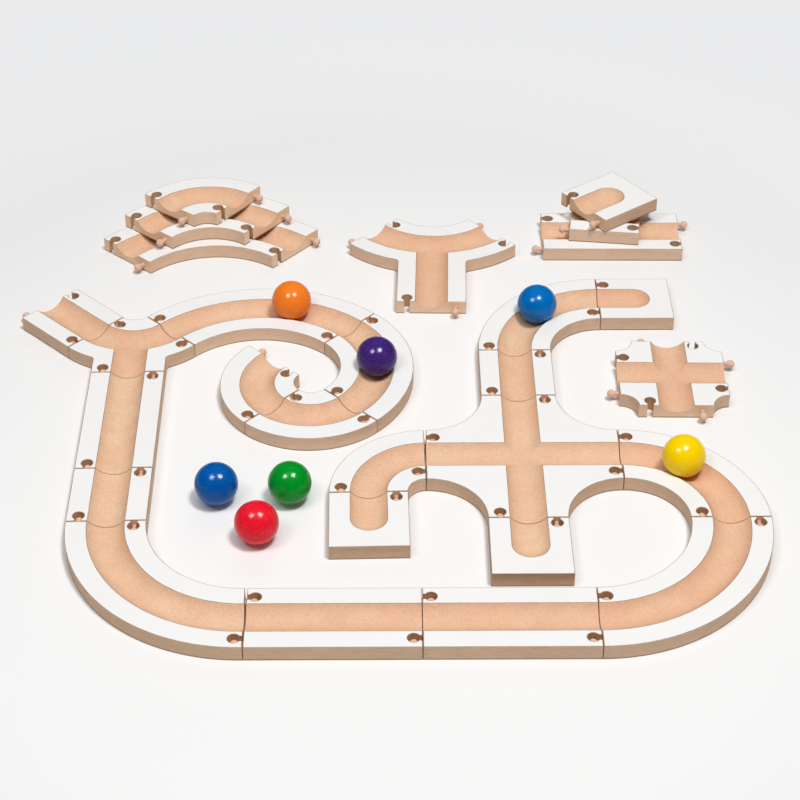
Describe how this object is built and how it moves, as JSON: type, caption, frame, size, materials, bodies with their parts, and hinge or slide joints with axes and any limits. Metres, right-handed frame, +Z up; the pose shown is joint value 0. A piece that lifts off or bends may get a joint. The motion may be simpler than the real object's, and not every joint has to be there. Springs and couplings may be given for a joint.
{
  "type": "wooden marble run",
  "caption": "Flat modular ball track of grooved boards, white on top, joined by ball-headed pegs and keyholes, with straights, bends, forks, crosses, dead ends and large wooden balls.",
  "frame": {"origin": "middle of the large cross's underside, on the surface that the set stands on", "axes": "+Z up; +X along the front row of straights, to the right seen from the front; +Y away from the front"},
  "size_m": [0.9, 0.8949, 0.0587],
  "materials": {
    "board": "wood fibre board, white melamine on top, bare groove and edges",
    "peg": "turned beech, sanded",
    "orange_ball": "gloss lacquer on wood",
    "purple_ball": "gloss lacquer on wood",
    "blue_ball_on_track": "gloss lacquer on wood",
    "yellow_ball": "gloss lacquer on wood",
    "blue_ball_on_floor": "gloss lacquer on wood",
    "green_ball": "gloss lacquer on wood",
    "red_ball": "gloss lacquer on wood"
  },
  "bodies": {
    "large_cross": {"large_cross": "board"},
    "middle_bend_right": {"middle_bend_right": "board"},
    "wide_bend_front_right": {"wide_bend_front_right": "board"},
    "long_straight_front_right": {"long_straight_front_right": "board"},
    "long_straight_front_left": {"long_straight_front_left": "board"},
    "wide_bend_front_left": {"wide_bend_front_left": "board"},
    "short_straight_left": {"short_straight_left": "board"},
    "long_straight_left": {"long_straight_left": "board"},
    "small_fork": {"small_fork": "board"},
    "short_straight_back_left": {"short_straight_back_left": "board", "short_straight_back_left_peg_2": "peg"},
    "wide_bend_spiral": {"wide_bend_spiral": "board"},
    "middle_bend_spiral": {"middle_bend_spiral": "board"},
    "tight_bend_spiral_outer": {"tight_bend_spiral_outer": "board"},
    "tight_bend_spiral_inner": {"tight_bend_spiral_inner": "board", "tight_bend_spiral_inner_peg_2": "peg"},
    "tight_bend_middle": {"tight_bend_middle": "board"},
    "dead_end_middle": {"dead_end_middle": "board"},
    "dead_end_front": {"dead_end_front": "board"},
    "short_straight_middle": {"short_straight_middle": "board"},
    "middle_bend_back": {"middle_bend_back": "board"},
    "dead_end_back": {"dead_end_back": "board"},
    "spare_wide_bend": {"spare_wide_bend": "board", "spare_wide_bend_peg_1": "peg", "spare_wide_bend_peg_2": "peg"},
    "spare_middle_bend": {"spare_middle_bend": "board", "spare_middle_bend_peg_1": "peg", "spare_middle_bend_peg_2": "peg"},
    "spare_tight_bend": {"spare_tight_bend": "board", "spare_tight_bend_peg_1": "peg", "spare_tight_bend_peg_2": "peg"},
    "large_fork": {"large_fork": "board", "large_fork_peg_1": "peg", "large_fork_peg_2": "peg", "large_fork_peg_3": "peg"},
    "spare_long_straight": {"spare_long_straight": "board", "spare_long_straight_peg_1": "peg", "spare_long_straight_peg_2": "peg"},
    "spare_short_straight": {"spare_short_straight": "board", "spare_short_straight_peg_1": "peg", "spare_short_straight_peg_2": "peg"},
    "spare_dead_end": {"spare_dead_end": "board", "spare_dead_end_peg_1": "peg"},
    "small_cross": {"small_cross": "board", "small_cross_peg_1": "peg", "small_cross_peg_2": "peg", "small_cross_peg_3": "peg", "small_cross_peg_4": "peg"},
    "orange_ball": {"orange_ball": "orange_ball"},
    "purple_ball": {"purple_ball": "purple_ball"},
    "blue_ball_on_track": {"blue_ball_on_track": "blue_ball_on_track"},
    "yellow_ball": {"yellow_ball": "yellow_ball"},
    "blue_ball_on_floor": {"blue_ball_on_floor": "blue_ball_on_floor"},
    "green_ball": {"green_ball": "green_ball"},
    "red_ball": {"red_ball": "red_ball"}
  },
  "joints": [
    {"name": "middle_bend_right_lift", "type": "slide", "parent": "large_cross", "child": "middle_bend_right", "axis": [0, 0, 1], "range_m": [0, 0.04]},
    {"name": "wide_bend_front_right_lift", "type": "slide", "parent": "large_cross", "child": "wide_bend_front_right", "axis": [0, 0, 1], "range_m": [0, 0.04]},
    {"name": "long_straight_front_right_lift", "type": "slide", "parent": "large_cross", "child": "long_straight_front_right", "axis": [0, 0, 1], "range_m": [0, 0.04]},
    {"name": "long_straight_front_left_lift", "type": "slide", "parent": "large_cross", "child": "long_straight_front_left", "axis": [0, 0, 1], "range_m": [0, 0.04]},
    {"name": "wide_bend_front_left_lift", "type": "slide", "parent": "large_cross", "child": "wide_bend_front_left", "axis": [0, 0, 1], "range_m": [0, 0.04]},
    {"name": "short_straight_left_lift", "type": "slide", "parent": "large_cross", "child": "short_straight_left", "axis": [0, 0, 1], "range_m": [0, 0.04]},
    {"name": "long_straight_left_lift", "type": "slide", "parent": "large_cross", "child": "long_straight_left", "axis": [0, 0, 1], "range_m": [0, 0.04]},
    {"name": "small_fork_lift", "type": "slide", "parent": "large_cross", "child": "small_fork", "axis": [0, 0, 1], "range_m": [0, 0.04]},
    {"name": "short_straight_back_left_lift", "type": "slide", "parent": "large_cross", "child": "short_straight_back_left", "axis": [0, 0, 1], "range_m": [0, 0.04]},
    {"name": "wide_bend_spiral_lift", "type": "slide", "parent": "large_cross", "child": "wide_bend_spiral", "axis": [0, 0, 1], "range_m": [0, 0.04]},
    {"name": "middle_bend_spiral_lift", "type": "slide", "parent": "large_cross", "child": "middle_bend_spiral", "axis": [0, 0, 1], "range_m": [0, 0.04]},
    {"name": "tight_bend_spiral_outer_lift", "type": "slide", "parent": "large_cross", "child": "tight_bend_spiral_outer", "axis": [0, 0, 1], "range_m": [0, 0.04]},
    {"name": "tight_bend_spiral_inner_lift", "type": "slide", "parent": "large_cross", "child": "tight_bend_spiral_inner", "axis": [0, 0, 1], "range_m": [0, 0.04]},
    {"name": "tight_bend_middle_lift", "type": "slide", "parent": "large_cross", "child": "tight_bend_middle", "axis": [0, 0, 1], "range_m": [0, 0.04]},
    {"name": "dead_end_middle_lift", "type": "slide", "parent": "large_cross", "child": "dead_end_middle", "axis": [0, 0, 1], "range_m": [0, 0.04]},
    {"name": "dead_end_front_lift", "type": "slide", "parent": "large_cross", "child": "dead_end_front", "axis": [0, 0, 1], "range_m": [0, 0.04]},
    {"name": "short_straight_middle_lift", "type": "slide", "parent": "large_cross", "child": "short_straight_middle", "axis": [0, 0, 1], "range_m": [0, 0.04]},
    {"name": "middle_bend_back_lift", "type": "slide", "parent": "large_cross", "child": "middle_bend_back", "axis": [0, 0, 1], "range_m": [0, 0.04]},
    {"name": "dead_end_back_lift", "type": "slide", "parent": "large_cross", "child": "dead_end_back", "axis": [0, 0, 1], "range_m": [0, 0.04]},
    {"name": "spare_wide_bend_lift", "type": "slide", "parent": "large_cross", "child": "spare_wide_bend", "axis": [0, 0, 1], "range_m": [0, 0.04]},
    {"name": "spare_middle_bend_lift", "type": "slide", "parent": "spare_wide_bend", "child": "spare_middle_bend", "axis": [0, 0, 1], "range_m": [0, 0.04]},
    {"name": "spare_tight_bend_lift", "type": "slide", "parent": "spare_middle_bend", "child": "spare_tight_bend", "axis": [0, 0, 1], "range_m": [0, 0.04]},
    {"name": "large_fork_lift", "type": "slide", "parent": "large_cross", "child": "large_fork", "axis": [0, 0, 1], "range_m": [0, 0.04]},
    {"name": "spare_long_straight_lift", "type": "slide", "parent": "large_cross", "child": "spare_long_straight", "axis": [0, 0, 1], "range_m": [0, 0.04]},
    {"name": "spare_short_straight_lift", "type": "slide", "parent": "spare_long_straight", "child": "spare_short_straight", "axis": [0, 0, 1], "range_m": [0, 0.04]},
    {"name": "spare_dead_end_lift", "type": "slide", "parent": "spare_short_straight", "child": "spare_dead_end", "axis": [0, 0, 1], "range_m": [0, 0.04]},
    {"name": "small_cross_lift", "type": "slide", "parent": "large_cross", "child": "small_cross", "axis": [0, 0, 1], "range_m": [0, 0.04]},
    {"name": "orange_ball_roll", "type": "hinge", "parent": "wide_bend_spiral", "child": "orange_ball", "pos_m": [-0.31694, 0.14, 0.0337], "axis": [0, 0, 1], "range_deg": [-26, 54]},
    {"name": "purple_ball_roll", "type": "hinge", "parent": "middle_bend_spiral", "child": "purple_ball", "pos_m": [-0.28458, 0.17375, 0.0337], "axis": [0, 0, 1], "range_deg": [-38, 42]},
    {"name": "blue_ball_on_track_roll", "type": "hinge", "parent": "middle_bend_back", "child": "blue_ball_on_track", "pos_m": [0.11325, 0.20675, 0.0337], "axis": [0, 0, 1], "range_deg": [-41, 39]},
    {"name": "yellow_ball_roll", "type": "hinge", "parent": "middle_bend_right", "child": "yellow_ball", "pos_m": [0.11325, -0.11325, 0.0337], "axis": [0, 0, 1], "range_deg": [-47, 33]},
    {"name": "blue_ball_on_floor_roll", "type": "slide", "parent": "large_cross", "child": "blue_ball_on_floor", "axis": [-1, 0, 0], "range_m": [0, 0.04]},
    {"name": "green_ball_roll", "type": "slide", "parent": "large_cross", "child": "green_ball", "axis": [0, 1, 0], "range_m": [0, 0.05]},
    {"name": "red_ball_roll", "type": "slide", "parent": "large_cross", "child": "red_ball", "axis": [0, -1, 0], "range_m": [0, 0.05]}
  ]
}
